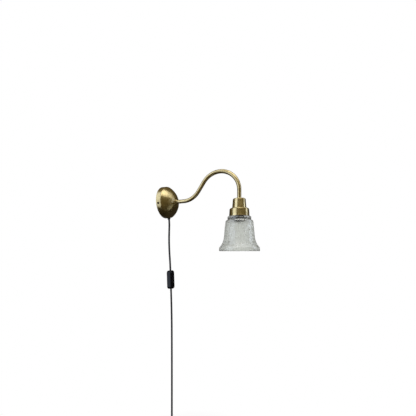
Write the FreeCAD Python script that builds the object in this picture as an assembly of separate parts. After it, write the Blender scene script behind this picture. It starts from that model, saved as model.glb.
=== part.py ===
"""A plug-in wall lamp: a domed wall plate, a swan-neck tube and a glass bell that points down.

Millimetres. The wall is the plane Y = 0 and the lamp stands out of it towards -Y. The origin is
the middle of the wall plate on the wall, +X is to the right seen from the room and +Z is up.
"""
import FreeCAD, Part
import math
import os

Vector = FreeCAD.Vector

# Wall plate, a spun cover with a straight rim band and a domed front
PLATE_RADIUS = 50.0
BAND_DEPTH = 16.0
BAND_TAPER = 0.5
PLATE_DEPTH = 43.6
NOSE_RADIUS = 12.5
DOME_BULGE = 4.2
SHEET = 1.0
PLATE_TURN = 11.5          # the plate hangs turned this far, so its side screw sits low on the left
SCREW_DEPTH = 7.0          # side screws, from the wall
SIDE_SCREW_RADIUS = 2.0
SIDE_SCREW_HEAD = 3.2

# Steel disc on the wall, inside the plate
DISC_RADIUS = 43.0
DISC_SHEET = 1.5
WALL_SLOT_SPACING = 60.0
WALL_SLOT_WIDTH = 4.6
WALL_SLOT_LENGTH = 10.0
EAR_REACH = 43.5
EAR_WIDTH = 12.0
EAR_DEPTH = 13.5

# Swan-neck tube and its M10 nipples
TUBE_RADIUS = 6.0
TUBE_BORE = 5.05
ARM_BEND = 60.0
ARM_FIRST_RUN_END = 70.0   # the tube is straight up to here, from the wall
ARM_RISE_ANGLE = 55.4
ARM_SLOPE_RUN = 33.0
NIPPLE_RADIUS = 5.0
NIPPLE_BORE = 3.6
LEAD_RADIUS = 2.7

# Lampholder covers, lampholder and glass. Heights are from the middle of the wall plate
TUBE_END = -6.7
UPPER_CUP_END = -34.5
LOWER_CUP_TOP = -34.6
LOWER_CUP_END = -57.9
UPPER_CUP_RADII = (18.1, 20.3)
LOWER_CUP_RADII = (27.6, 29.1)
CUP_SHEET = 0.9
HOLDER_RADIUS = 14.0
HOLDER_BORE = 12.0
HOLDER_CAP_RADIUS = 15.2
HOLDER_CAP_FLOOR = -16.5   # the nipple ends here, inside the holder
HOLDER_SPLIT = -29.5       # where the holder's two halves meet
HOLDER_END = -74.0
LAMP_THREAD_RADIUS = 6.95
CORE_TOP = -26.0
CORE_FLOOR = -35.0
CORE_END = -68.0
CONTACT_ROOT = FreeCAD.Vector(-5.6, 0, CORE_FLOOR - 1.0)
CONTACT_DROOP = 20.0
CONTACT_PIN_RADIUS = 0.45
CHEEK_INNER = 2.15         # the core's cheeks that hold the contact's pin
CHEEK_OUTER = 3.2
GLASS_TOP = -58.2
GLASS_HOLE = 15.2
GLASS_END = -156.8
SHADE_RING_TOP = -61.9
SHADE_RING_RADIUS = 21.5

# Cord, inline switch and plug
CORD_RADIUS = 3.0
CORD_DEPTH = 9.5           # the cord's hole in the rim band, from the wall
GROMMET_FACE = 54.0        # the grommet's outer face, from the plate's middle
CORD_LINE = 14.5           # the cord hangs this far to the right of the plate's middle
SWITCH_LENGTH = 60.0
SWITCH_WIDTH = 24.0
SWITCH_DEPTH = 17.0
SWITCH_MIDDLE = Vector(CORD_LINE, -13.5, -250.5)
SWITCH_LEAN = 2.1          # its lower end stands further from the wall
ROCKER_TILT = 7.0
ROCKER_PIVOT_DEPTH = 3.4   # the rocker's axis, in front of the switch's middle
SEESAW_TILT = 6.0
SEESAW_PIVOT_DEPTH = 2.6   # the see-saw's axis, behind the switch's middle
SEESAW_RIDGE = 0.7
LAYER_STEP = 6.6           # between turns of the coil, and between its two layers
COIL_MIDDLE = Vector(CORD_LINE, -59.0, -752.0)
COIL_REACH = 41.0          # from the coil's middle to its first turn
COIL_INNER_REACH = 21.2
COIL_RETURN_REACH = 30.6
TAIL_END = -806.0
PLUG_RELIEF_LENGTH = 22.0
PLUG_LENGTH = 36.0
PIN_LENGTH = 19.0

UP = Vector(0, 0, 1)
OUT = Vector(0, -1, 0)
RIGHT = Vector(1, 0, 0)


# ---- shapes used by many parts ----------------------------------------------------------------

def box(x_low, x_high, y_low, y_high, z_low, z_high):
    return Part.makeBox(x_high - x_low, y_high - y_low, z_high - z_low, Vector(x_low, y_low, z_low))


def rod(radius, start, end):
    along = end - start
    return Part.makeCylinder(radius, along.Length, start, along)


def pipe(radius, bore, start, end):
    overrun = (end - start).normalize() * 0.5
    return rod(radius, start, end).cut(rod(bore, start - overrun, end + overrun))


def turned(outline):
    """A solid of revolution about Z. The outline is a list of (radius, height) corners; a corner
    with four numbers is reached by an arc through its first two."""
    corners = [Vector(corner[-2], 0, corner[-1]) for corner in outline]
    edges = []
    for index, corner in enumerate(outline):
        start = corners[index - 1]
        if len(corner) == 4:
            edges.append(Part.Arc(start, Vector(corner[0], 0, corner[1]), corners[index]).toShape())
        else:
            edges.append(Part.LineSegment(start, corners[index]).toShape())
    face = Part.Face(Part.Wire(Part.__sortEdges__(edges)))
    return face.revolve(Vector(0, 0, 0), UP, 360)


def rounded_rings(solid, radius, rings):
    """Round the circular edges of a turned solid that have these (radius, height)."""
    chosen = []
    for edge in solid.Edges:
        if not isinstance(edge.Curve, Part.Circle):
            continue
        for ring_radius, height in rings:
            near_radius = abs(edge.Curve.Radius - ring_radius) < 0.02
            if near_radius and abs(edge.Curve.Center.z - height) < 0.02:
                chosen.append(edge)
    return solid.makeFillet(radius, chosen)


def facing_out(solid):
    """Lay a solid that was turned about Z along -Y, with its height as the distance to the wall."""
    solid.rotate(Vector(0, 0, 0), RIGHT, 90)
    return solid


def with_plate(solid):
    """Turn a piece with the wall plate."""
    solid.rotate(Vector(0, 0, 0), Vector(0, 1, 0), -PLATE_TURN)
    return solid


def under_arm(solid):
    """Move a piece that was made on the Z axis under the end of the arm."""
    solid.translate(Vector(0, -arm_reach(), 0))
    return solid


def in_switch(solid):
    """Place a piece that was made round the origin, with the switch's front towards -Y."""
    solid.rotate(Vector(0, 0, 0), RIGHT, -SWITCH_LEAN)
    solid.translate(SWITCH_MIDDLE)
    return solid


def slot_cutter(width, length, y_low, y_high, middle_x):
    half = (length - width) / 2
    ends = [Vector(middle_x + side * half, y_low, 0) for side in (-1, 1)]
    rounds = [Part.makeCylinder(width / 2, y_high - y_low, end, Vector(0, 1, 0)) for end in ends]
    middle = box(middle_x - half, middle_x + half, y_low, y_high, -width / 2, width / 2)
    return rounds[0].fuse([rounds[1], middle])


# ---- the arm's path -----------------------------------------------------------------------------

def arm_reach():
    """Distance from the wall to the axis of the lampholder."""
    rise = math.radians(ARM_RISE_ANGLE)
    bends = ARM_BEND * (2 * math.sin(rise) + 1)
    return ARM_FIRST_RUN_END + bends + ARM_SLOPE_RUN * math.cos(rise)


def bend_point(middle_reach, middle_height, angle):
    """A point on an arm bend, at this angle from straight out along the wall's normal."""
    turn = math.radians(angle)
    reach = middle_reach + ARM_BEND * math.cos(turn)
    return Vector(0, -reach, middle_height + ARM_BEND * math.sin(turn))


def arm_edges(start_reach, end_height):
    """The arm's middle line: out of the wall, up round one bend, and over and down another."""
    rise = ARM_RISE_ANGLE
    top_reach = arm_reach() - ARM_BEND
    top_height = 2 * ARM_BEND * (1 - math.cos(math.radians(rise)))
    top_height += ARM_SLOPE_RUN * math.sin(math.radians(rise)) - ARM_BEND
    first = Vector(0, -start_reach, 0)
    low_start = Vector(0, -ARM_FIRST_RUN_END, 0)
    low_middle = bend_point(ARM_FIRST_RUN_END, ARM_BEND, -90 + rise / 2)
    low_end = bend_point(ARM_FIRST_RUN_END, ARM_BEND, -90 + rise)
    high_start = bend_point(top_reach, top_height, 90 + rise)
    high_middle = bend_point(top_reach, top_height, 45 + rise / 2)
    high_end = bend_point(top_reach, top_height, 0)
    last = Vector(0, -arm_reach(), end_height)
    return [
        Part.LineSegment(first, low_start).toShape(),
        Part.Arc(low_start, low_middle, low_end).toShape(),
        Part.LineSegment(low_end, high_start).toShape(),
        Part.Arc(high_start, high_middle, high_end).toShape(),
        Part.LineSegment(high_end, last).toShape(),
    ]


def swept(edges, radius):
    """A round bar along a path of edges that meet without a corner."""
    path = Part.Wire(edges)
    start = edges[0].valueAt(edges[0].FirstParameter)
    direction = edges[0].tangentAt(edges[0].FirstParameter)
    section = Part.Wire(Part.makeCircle(radius, start, direction))
    return path.makePipeShell([section], True, False)


# ---- wall plate ---------------------------------------------------------------------------------

def canopy():
    band_end = PLATE_RADIUS - BAND_TAPER
    chord = Vector(NOSE_RADIUS - band_end, 0, PLATE_DEPTH - BAND_DEPTH)
    outward = Vector(chord.z, 0, -chord.x).normalize() * DOME_BULGE
    bulge = Vector((NOSE_RADIUS + band_end) / 2, 0, (PLATE_DEPTH + BAND_DEPTH) / 2) + outward
    outline = [
        (0, 0),
        (PLATE_RADIUS, 0),
        (band_end, BAND_DEPTH),
        (bulge.x, bulge.z, NOSE_RADIUS, PLATE_DEPTH),
        (0, PLATE_DEPTH),
    ]
    body = turned(outline)
    body = rounded_rings(body, 5.0, [(band_end, BAND_DEPTH)])
    body = rounded_rings(body, 4.0, [(NOSE_RADIUS, PLATE_DEPTH)])
    back = [face for face in body.Faces if abs(face.CenterOfMass.z) < 0.01]
    shell = body.makeThickness(back, -SHEET, 0.001)
    shell = shell.cut(Part.makeCylinder(NIPPLE_RADIUS + 0.2, PLATE_DEPTH + 5))
    shell = facing_out(shell)
    cord_way = Vector(0, -CORD_DEPTH, -60)
    shell = shell.cut(rod(4.1, Vector(0, -CORD_DEPTH, -30), cord_way))
    for side in (-1, 1):
        start = Vector(side * 40, -SCREW_DEPTH, 0)
        shell = shell.cut(rod(SIDE_SCREW_RADIUS + 0.2, start, start + RIGHT * side * 20))
    return with_plate(shell)


def canopy_screws():
    """Two screws with low round heads, one each side of the band."""
    head_face = PLATE_RADIUS
    outline = [
        (0, 40.5),
        (SIDE_SCREW_RADIUS, 40.5),
        (SIDE_SCREW_RADIUS, head_face),
        (SIDE_SCREW_HEAD, head_face),
        (SIDE_SCREW_HEAD, head_face + 0.7),
        (2.3, head_face + 1.7, 0, head_face + 2.1),
    ]
    slot = box(-0.4, 0.4, -5, 5, head_face + 1.2, head_face + 4)
    screws = []
    for side in (-1, 1):
        screw = turned(outline).cut(slot)
        screw.rotate(Vector(0, 0, 0), Vector(0, 1, 0), side * 90)
        screw.translate(Vector(0, -SCREW_DEPTH, 0))
        screws.append(with_plate(screw))
    return Part.makeCompound(screws)


def wall_disc():
    """The mounting disc, with two slots for wall screws and two ears for the side screws."""
    disc = rod(DISC_RADIUS, Vector(0, 0, 0), OUT * DISC_SHEET)
    for side in (-1, 1):
        inner = side * (EAR_REACH - DISC_SHEET)
        outer = side * EAR_REACH
        half = EAR_WIDTH / 2
        ear = box(min(inner, outer), max(inner, outer), -EAR_DEPTH, 0, -half, half)
        foot = box(min(0.8 * inner, outer), max(0.8 * inner, outer), -DISC_SHEET, 0, -half, half)
        hole = rod(SIDE_SCREW_RADIUS + 0.05, Vector(side * 38, -SCREW_DEPTH, 0),
                   Vector(side * 48, -SCREW_DEPTH, 0))
        disc = disc.fuse([ear, foot]).cut(hole)
    disc = with_plate(disc.removeSplitter())
    for side in (-1, 1):
        middle = side * WALL_SLOT_SPACING / 2
        disc = disc.cut(slot_cutter(WALL_SLOT_WIDTH, WALL_SLOT_LENGTH, -5, 5, middle))
    return disc


def cord_grommet():
    outline = [
        (CORD_RADIUS + 0.1, 46.5),
        (5.2, 46.5),
        (5.2, 48.3),
        (4.0, 48.3),
        (4.0, 50.3),
        (5.2, 50.3),
        (5.2, 51.0),
        (4.2, GROMMET_FACE),
        (CORD_RADIUS + 0.1, GROMMET_FACE),
    ]
    bush = turned(outline)
    bush.rotate(Vector(0, 0, 0), RIGHT, 180)
    bush.translate(Vector(0, -CORD_DEPTH, 0))
    return with_plate(bush)


CLAMP_LOW = -38.0
CLAMP_HIGH = -30.0
CLAMP_SCREW_REACH = 8.0


def cord_clamp():
    """A pad on the disc and a bar over it that grip the cord."""
    pad = box(-12, 12, -CORD_DEPTH + CORD_RADIUS + 0.1, -DISC_SHEET - 0.02, CLAMP_LOW, CLAMP_HIGH)
    bar = box(-12, 12, -16, -CORD_DEPTH - CORD_RADIUS - 0.1, CLAMP_LOW, CLAMP_HIGH)
    middle = (CLAMP_LOW + CLAMP_HIGH) / 2
    for side in (-1, 1):
        reach = side * CLAMP_SCREW_REACH
        hole = rod(1.6, Vector(reach, -20, middle), Vector(reach, 0, middle))
        pad = pad.cut(hole)
        bar = bar.cut(hole)
    return with_plate(Part.makeCompound([pad, bar]))


def cord_clamp_screws():
    middle = (CLAMP_LOW + CLAMP_HIGH) / 2
    screws = []
    for side in (-1, 1):
        seat = Vector(side * CLAMP_SCREW_REACH, -16.05, middle)
        shank = rod(1.5, seat, seat - OUT * 14)
        head = rod(2.8, seat, seat + OUT * 1.8)
        cross = box(seat.x - 2, seat.x + 2, seat.y - 3, seat.y - 1, middle - 0.35, middle + 0.35)
        screws.append(with_plate(shank.fuse(head).cut(cross)))
    return Part.makeCompound(screws)


BLOCK_LOW = -24.0
BLOCK_HIGH = -10.0
BLOCK_FRONT = 14.0
BLOCK_POLE = 3.6


def terminal_block():
    """A two-pole block for the cord's wires, on the disc."""
    block = box(-9, 9, -BLOCK_FRONT, -DISC_SHEET - 0.02, BLOCK_LOW, BLOCK_HIGH)
    block = block.cut(box(-0.6, 0.6, -BLOCK_FRONT - 1, -BLOCK_FRONT + 4, BLOCK_LOW, BLOCK_HIGH))
    for seat in block_screw_seats():
        block = block.cut(rod(2.1, seat, seat + OUT * 10))
    return with_plate(block)


def block_screw_seats():
    heights = (BLOCK_LOW + 3.5, BLOCK_HIGH - 3.5)
    return [Vector(side * BLOCK_POLE * 1.2, -9, height) for side in (-1, 1) for height in heights]


def terminal_screws():
    screws = []
    for seat in block_screw_seats():
        screw = rod(1.9, seat + OUT * 0.1, seat + OUT * 4)
        cross = box(seat.x - 3, seat.x + 3, seat.y - 5, seat.y - 3.2, seat.z - 0.3, seat.z + 0.3)
        screws.append(with_plate(screw.cut(cross)))
    return Part.makeCompound(screws)


def inlet_lead():
    """The cord inside the plate, from the grommet's face through the clamp."""
    return with_plate(rod(CORD_RADIUS, Vector(0, -CORD_DEPTH, -GROMMET_FACE),
                          Vector(0, -CORD_DEPTH, CLAMP_HIGH + 2)))


def block_wires():
    """Two wires from the cord to the block, and two from the block into the arm's lead."""
    wires = []
    for side in (-1, 1):
        low = Vector(side * 1.4, -CORD_DEPTH, CLAMP_HIGH + 2.02)
        wires.append(with_plate(rod(1.1, low, Vector(low.x, low.y, BLOCK_LOW - 0.02))))
        start = Vector(side * 1.4, -8.0, BLOCK_HIGH + 0.05)
        corner = Vector(side * 1.4, start.y + start.z, 0)
        bend_middle = Vector(start.x, corner.y, start.z)
        middle = bend_middle + Vector(0, 1, 1).normalize() * -start.z
        arc = Part.Arc(start, middle, corner).toShape()
        run = Part.LineSegment(corner, Vector(corner.x, -29.9, 0)).toShape()
        wires.append(with_plate(swept([arc, run], 1.1)))
    return Part.makeCompound(wires)


# ---- arm ----------------------------------------------------------------------------------------

def arm_tube():
    outside = swept(arm_edges(PLATE_DEPTH + 0.02, TUBE_END + 0.02), TUBE_RADIUS)
    inside = swept(arm_edges(PLATE_DEPTH - 1, TUBE_END - 1), TUBE_BORE)
    return outside.cut(inside)


def arm_lead():
    """The sheathed lead that fills the arm's bore loosely, from the plate to the lampholder."""
    return swept(arm_edges(30, HOLDER_CAP_FLOOR - 2), LEAD_RADIUS)


def arm_collar():
    """The turned ring that covers the tube's root on the nose of the plate."""
    foot = PLATE_DEPTH + 0.02
    outline = [
        (TUBE_RADIUS + 0.05, foot),
        (8.6, foot),
        (8.6, foot + 1.2),
        (7.3, foot + 1.8, TUBE_RADIUS + 0.7, foot + 3.0),
        (TUBE_RADIUS + 0.05, foot + 3.0),
    ]
    return facing_out(turned(outline))


def arm_base_nipple():
    return facing_out(pipe(NIPPLE_RADIUS, NIPPLE_BORE, UP * 33, UP * 56))


def arm_washer():
    """A toothed lock washer against the inside of the nose."""
    inner_face = PLATE_DEPTH - SHEET
    ring = pipe(8.0, NIPPLE_RADIUS + 0.1, UP * (inner_face - 0.95), UP * (inner_face - 0.05))
    teeth = 10
    for tooth in range(teeth):
        angle = 2 * math.pi * tooth / teeth
        middle = Vector(8.4 * math.cos(angle), 8.4 * math.sin(angle), inner_face - 2)
        ring = ring.cut(Part.makeCylinder(0.9, 3, middle))
    return facing_out(ring)


def arm_nut():
    """An M10 hexagon nut."""
    top = PLATE_DEPTH - SHEET - 1.0
    corners = []
    for index in range(7):
        angle = math.radians(60 * index)
        corners.append(Vector(8.1 * math.cos(angle), 8.1 * math.sin(angle), top - 4))
    nut = Part.Face(Part.makePolygon(corners)).extrude(UP * 4)
    return facing_out(nut.cut(Part.makeCylinder(NIPPLE_RADIUS + 0.05, 60)))


def arm_end_nipple():
    return under_arm(pipe(NIPPLE_RADIUS, NIPPLE_BORE, UP * HOLDER_CAP_FLOOR, UP * (TUBE_END + 14)))


# ---- lampholder and its covers ------------------------------------------------------------------

def cup(radii, top, end, hole, rounding):
    """A spun cup with an open lower end."""
    upper, lower = radii
    outline = [(0, top), (upper, top), (lower, end), (0, end)]
    body = rounded_rings(turned(outline), rounding, [(upper, top)])
    floor = [face for face in body.Faces if abs(face.CenterOfMass.z - end) < 0.01]
    shell = body.makeThickness(floor, -CUP_SHEET, 0.001)
    return under_arm(shell.cut(Part.makeCylinder(hole, 10, Vector(0, 0, top - 5))))


def upper_cup():
    return cup(UPPER_CUP_RADII, TUBE_END, UPPER_CUP_END, NIPPLE_RADIUS + 0.15, 3.0)


def lower_cup():
    return cup(LOWER_CUP_RADII, LOWER_CUP_TOP, LOWER_CUP_END, HOLDER_RADIUS + 0.3, 4.0)


def holder_cap():
    """The lampholder's upper half, threaded for the nipple."""
    top = TUBE_END - CUP_SHEET - 0.1
    outline = [
        (NIPPLE_RADIUS + 0.05, top),
        (11.5, top),
        (HOLDER_CAP_RADIUS, top - 4),
        (HOLDER_CAP_RADIUS, HOLDER_SPLIT),
        (HOLDER_CAP_RADIUS - 1.6, HOLDER_SPLIT),
        (HOLDER_CAP_RADIUS - 1.6, HOLDER_CAP_FLOOR),
        (NIPPLE_RADIUS + 0.05, HOLDER_CAP_FLOOR),
    ]
    return under_arm(turned(outline))


def holder_skirt():
    """The lampholder's lower half, threaded outside for the shade ring."""
    flange = HOLDER_SPLIT - 0.1
    outline = [
        (HOLDER_BORE, flange + 7.6),
        (HOLDER_CAP_RADIUS - 1.7, flange + 7.6),
        (HOLDER_CAP_RADIUS - 1.7, flange),
        (HOLDER_CAP_RADIUS, flange),
        (HOLDER_CAP_RADIUS, flange - 2),
        (HOLDER_RADIUS, flange - 2),
        (HOLDER_RADIUS, HOLDER_END),
        (HOLDER_BORE, HOLDER_END),
    ]
    return under_arm(turned(outline))


def holder_core():
    """The insulating core: a disc that carries the contacts, a sleeve round the screw shell and
    two cheeks that hold the contact's pin."""
    outline = [
        (0, CORE_TOP),
        (HOLDER_BORE - 0.15, CORE_TOP),
        (HOLDER_BORE - 0.15, CORE_END),
        (9.0, CORE_END),
        (LAMP_THREAD_RADIUS + 0.6, CORE_END + 4),
        (LAMP_THREAD_RADIUS + 0.6, CORE_FLOOR),
        (0, CORE_FLOOR),
    ]
    core = turned(outline)
    root = CONTACT_ROOT
    for side in (-1, 1):
        low = min(side * CHEEK_INNER, side * CHEEK_OUTER)
        core = core.fuse(box(root.x - 1.1, root.x + 1.1, low, low + CHEEK_OUTER - CHEEK_INNER,
                             root.z - 1.1, CORE_FLOOR + 0.5))
    across = Vector(0, CHEEK_OUTER + 0.5, 0)
    core = core.cut(rod(CONTACT_PIN_RADIUS + 0.05, root - across, root + across))
    return under_arm(core.removeSplitter())


def screw_shell():
    """The brass E14 shell."""
    outside = LAMP_THREAD_RADIUS + 0.55
    return under_arm(pipe(outside, LAMP_THREAD_RADIUS, UP * (CORE_END + 5), UP * (CORE_END + 27)))


def centre_contact():
    """The tongue that presses on the lamp's end, with a curled root on a pin, and its tip low."""
    tongue = box(0, 8.4, -2, 2, -0.25, 0.25)
    tip = rod(1.4, Vector(6.2, 0, -0.9), Vector(6.2, 0, 0))
    curl = rod(0.7, Vector(0, -2, 0), Vector(0, 2, 0))
    pin = rod(CONTACT_PIN_RADIUS, Vector(0, -CHEEK_OUTER, 0), Vector(0, CHEEK_OUTER, 0))
    tongue = tongue.fuse([tip, curl, pin]).removeSplitter()
    tongue.rotate(Vector(0, 0, 0), Vector(0, 1, 0), CONTACT_DROOP)
    tongue.translate(CONTACT_ROOT)
    return under_arm(tongue)


def holder_terminals():
    """Two brass posts on top of the core, each with a screw hole."""
    posts = []
    for side in (-1, 1):
        low = min(side * 1.2, side * 7.2)
        post = box(low, low + 6, -2.5, 2.5, CORE_TOP + 0.02, CORE_TOP + 4.5)
        hole = rod(1.1, Vector(side * 5.4, -4, CORE_TOP + 2.3), Vector(side * 5.4, 4, CORE_TOP + 2.3))
        posts.append(under_arm(post.cut(hole)))
    return Part.makeCompound(posts)


def holder_wires():
    wires = []
    for side in (-1, 1):
        top = Vector(side * 1.4, 0, HOLDER_CAP_FLOOR - 2.02)
        wires.append(under_arm(rod(1.1, top, Vector(top.x, 0, CORE_TOP + 4.52))))
    return Part.makeCompound(wires)


def shade_ring():
    """The ring that screws up the lampholder under the glass, with grip notches."""
    bore = HOLDER_RADIUS + 0.12
    outline = [
        (bore, SHADE_RING_TOP),
        (SHADE_RING_RADIUS, SHADE_RING_TOP),
        (SHADE_RING_RADIUS, SHADE_RING_TOP - 3),
        (17.0, SHADE_RING_TOP - 4),
        (17.0, SHADE_RING_TOP - 8.1),
        (bore, SHADE_RING_TOP - 8.1),
    ]
    ring = turned(outline)
    notches = 12
    for notch in range(notches):
        angle = 2 * math.pi * notch / notches
        middle = Vector(math.cos(angle), math.sin(angle), 0) * (SHADE_RING_RADIUS + 1.2)
        middle.z = SHADE_RING_TOP - 6
        ring = ring.cut(Part.makeCylinder(2.2, 8, middle))
    return under_arm(ring)


def glass_shade():
    """The pressed glass bell: a beaded neck, a square shoulder and a flared rim."""
    outline = [
        (GLASS_HOLE, GLASS_TOP),
        (32.4, GLASS_TOP),
        (33.3, GLASS_TOP - 0.4, 33.6, GLASS_TOP - 1.3),
        (33.6, -64.4),
        (33.2, -65.6, 31.8, -66.6),
        (31.6, -67.6),
        (37.2, -69.2),
        (38.7, -70.0, 39.4, -72.0),
        (41.6, -92.0, 43.3, -114.5),
        (47.7, -131.0, 56.9, -145.6),
        (57.7, -147.6, 57.9, -149.6),
        (57.9, -154.6),
        (57.4, -156.2, 56.4, GLASS_END),
        (54.6, GLASS_END),
        (53.8, -148.6, 51.6, -144.6),
        (44.4, -132.0, 40.4, -115.5),
        (38.5, -92.5, 36.6, -74.0),
        (35.8, -72.4, 34.6, -71.8),
        (29.4, -69.8),
        (29.4, GLASS_TOP - 5.2),
        (28.8, GLASS_TOP - 3.8, 27.4, GLASS_TOP - 3.4),
        (GLASS_HOLE, GLASS_TOP - 3.4),
    ]
    return under_arm(turned(outline))


# ---- cord ---------------------------------------------------------------------------------------

def plate_turned_point(x, y, z):
    turn = math.radians(PLATE_TURN)
    return Vector(x * math.cos(turn) - z * math.sin(turn), y, x * math.sin(turn) + z * math.cos(turn))


def switch_point(along):
    """A point on the switch's long axis, this far above its middle."""
    lean = math.radians(SWITCH_LEAN)
    return SWITCH_MIDDLE + Vector(0, math.sin(lean) * along, math.cos(lean) * along)


def upper_route():
    """From the grommet down to the switch."""
    return [
        plate_turned_point(0, -CORD_DEPTH, -GROMMET_FACE - 0.02),
        plate_turned_point(0, -CORD_DEPTH, -GROMMET_FACE - 12),
        Vector(13.4, -8.5, -88),
        Vector(12.9, -8.1, -122),
        Vector(13.5, -9.2, -160),
        switch_point(SWITCH_LENGTH / 2 + 22),
        switch_point(SWITCH_LENGTH / 2 + 0.02),
    ]


def lower_route():
    """From the switch down to the coil."""
    return [
        switch_point(-SWITCH_LENGTH / 2 - 0.02),
        switch_point(-SWITCH_LENGTH / 2 - 60),
        Vector(CORD_LINE, -18.0, -436),
        Vector(CORD_LINE, -18.0, COIL_MIDDLE.z + 2 * CORD_RADIUS + 0.02),
    ]


def routed_edges(route, name):
    """Straight runs joined by tangent arcs, each as large as its two runs allow."""
    edges = []
    radii = []
    start = route[0]
    for index in range(1, len(route) - 1):
        corner = route[index]
        before = corner - route[index - 1]
        after = route[index + 1] - corner
        cut_back = 0.45 * min(before.Length, after.Length)
        half_turn = before.getAngle(after) / 2
        radius = cut_back / math.tan(half_turn)
        radii.append(round(radius))
        arc_start = corner - before.normalize() * cut_back
        arc_end = corner + after.normalize() * cut_back
        inward = (arc_start + arc_end) * 0.5 - corner
        reach = radius / math.cos(half_turn) - radius
        arc_middle = corner + inward.normalize() * reach
        edges.append(Part.LineSegment(start, arc_start).toShape())
        edges.append(Part.Arc(arc_start, arc_middle, arc_end).toShape())
        start = arc_end
    edges.append(Part.LineSegment(start, route[-1]).toShape())
    print(name, "bend radii", radii)
    return edges


def cord_tube(edges, name):
    """The cord along these edges, with its volume set against its section times its length."""
    tube = swept(edges, CORD_RADIUS)
    length = sum(edge.Length for edge in edges)
    ratio = tube.Volume / (math.pi * CORD_RADIUS ** 2 * length)
    print(name, "length", round(length, 1), "volume ratio", round(ratio, 4), "valid", tube.isValid())
    return tube


def cord_upper():
    return cord_tube(routed_edges(upper_route(), "cord_upper"), "cord_upper")


def cord_lower():
    return cord_tube(routed_edges(lower_route(), "cord_lower"), "cord_lower")


def coil_point(reach, drop, layer):
    """A point of the coil: outwards from its middle, below it, and in a layer, 0 or 1."""
    return COIL_MIDDLE + Vector(layer * LAYER_STEP, -reach, -drop)


def coil_edges():
    """Half turns that spiral in over one layer, climb, and spiral out over the other."""
    half_pitch = LAYER_STEP / 2
    reaches = [COIL_REACH - half_pitch * turn for turn in range(5)]
    climb_turn = len(reaches)
    reaches.append(COIL_INNER_REACH)
    reaches += [COIL_RETURN_REACH + half_pitch * turn for turn in range(5)]
    top = coil_point(-COIL_REACH, -2 * CORD_RADIUS, 0)
    edges = [Part.LineSegment(top, coil_point(-COIL_REACH, 0, 0)).toShape()]
    for turn in range(1, len(reaches)):
        side = -1 if turn % 2 else 1
        radius = (reaches[turn - 1] + reaches[turn]) / 2
        middle = side * (reaches[turn - 1] - reaches[turn]) / 2
        layers = (0, 0) if turn < climb_turn else (1, 1)
        if turn == climb_turn:
            layers = (0, 1)
        start = coil_point(side * reaches[turn - 1], 0, layers[0])
        end = coil_point(-side * reaches[turn], 0, layers[1])
        if turn == climb_turn:
            edges += climbing_edges(start, end)
        else:
            lowest = coil_point(middle, -side * radius, layers[0])
            edges.append(Part.Arc(start, lowest, end).toShape())
    bottom = end - UP * 2 * CORD_RADIUS
    edges.append(Part.LineSegment(end, bottom).toShape())
    return edges


def climbing_edges(start, end):
    """Two quarter turns, each in a tilted plane, that climb from one layer to the next."""
    half_step = (end - start) * 0.5
    radius = half_step.Length
    lowest = start + half_step - UP * radius
    bow = radius * math.sqrt(0.5)
    first_middle = start + half_step - half_step.normalize() * bow - UP * bow
    last_middle = start + (end - start) * 0.5 + half_step * bow - UP * bow
    return [
        Part.Arc(start, first_middle, lowest).toShape(),
        Part.Arc(lowest, last_middle, end).toShape(),
    ]


def least_gap(edges):
    """The least distance between stretches of the coil that aren't neighbours, less a diameter."""
    points = []
    travelled = 0.0
    for edge in edges:
        count = max(3, int(edge.Length / 2.5))
        for step in range(count):
            span = edge.LastParameter - edge.FirstParameter
            place = edge.valueAt(edge.FirstParameter + span * step / count)
            points.append((travelled + edge.Length * step / count, place))
        travelled += edge.Length
    least = 1000.0
    for index, (along, place) in enumerate(points):
        for other_along, other in points[index + 1:]:
            if other_along - along > 8 * CORD_RADIUS:
                least = min(least, (other - place).Length)
    return least - 2 * CORD_RADIUS


def cord_coil():
    edges = coil_edges()
    print("cord_coil least gap to itself", round(least_gap(edges), 2))
    return cord_tube(edges, "cord_coil")


def coil_exit():
    last_reach = COIL_RETURN_REACH + 2 * LAYER_STEP
    return coil_point(-last_reach, 2 * CORD_RADIUS, 1)


def cord_tail():
    start = coil_exit() - UP * 0.02
    end = Vector(start.x, start.y, TAIL_END)
    return cord_tube([Part.LineSegment(start, end).toShape()], "cord_tail")


def coil_tie():
    """A soft strap round the turns on the coil's room side."""
    slack = 0.7
    thick = 1.2
    inner = COIL_INNER_REACH - CORD_RADIUS - slack
    outer = COIL_REACH + CORD_RADIUS + slack
    x_low = COIL_MIDDLE.x - CORD_RADIUS - slack
    x_high = COIL_MIDDLE.x + LAYER_STEP + CORD_RADIUS + slack
    y_high = COIL_MIDDLE.y - inner
    y_low = COIL_MIDDLE.y - outer
    z = COIL_MIDDLE.z
    around = box(x_low - thick, x_high + thick, y_low - thick, y_high + thick, z - 5, z + 5)
    around = around.makeFillet(1.5, [edge for edge in around.Edges if edge.Length == 10])
    return around.cut(box(x_low, x_high, y_low, y_high, z - 6, z + 6))


# ---- inline switch ------------------------------------------------------------------------------

SWITCH_WALL = 2.0
SWITCH_SPLIT = 0.5         # the halves meet this far behind the switch's middle
WINDOW_WIDTH = 12.0
WINDOW_LENGTH = 20.0


def rounded_plan(width, length, corner, y_low, y_high):
    """A block with this plan seen from the front, its corners rounded."""
    block = box(-width / 2, width / 2, y_low, y_high, -length / 2, length / 2)
    upright = [edge for edge in block.Edges if abs(edge.tangentAt(edge.FirstParameter).y) > 0.9]
    return block.makeFillet(corner, upright)


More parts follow.
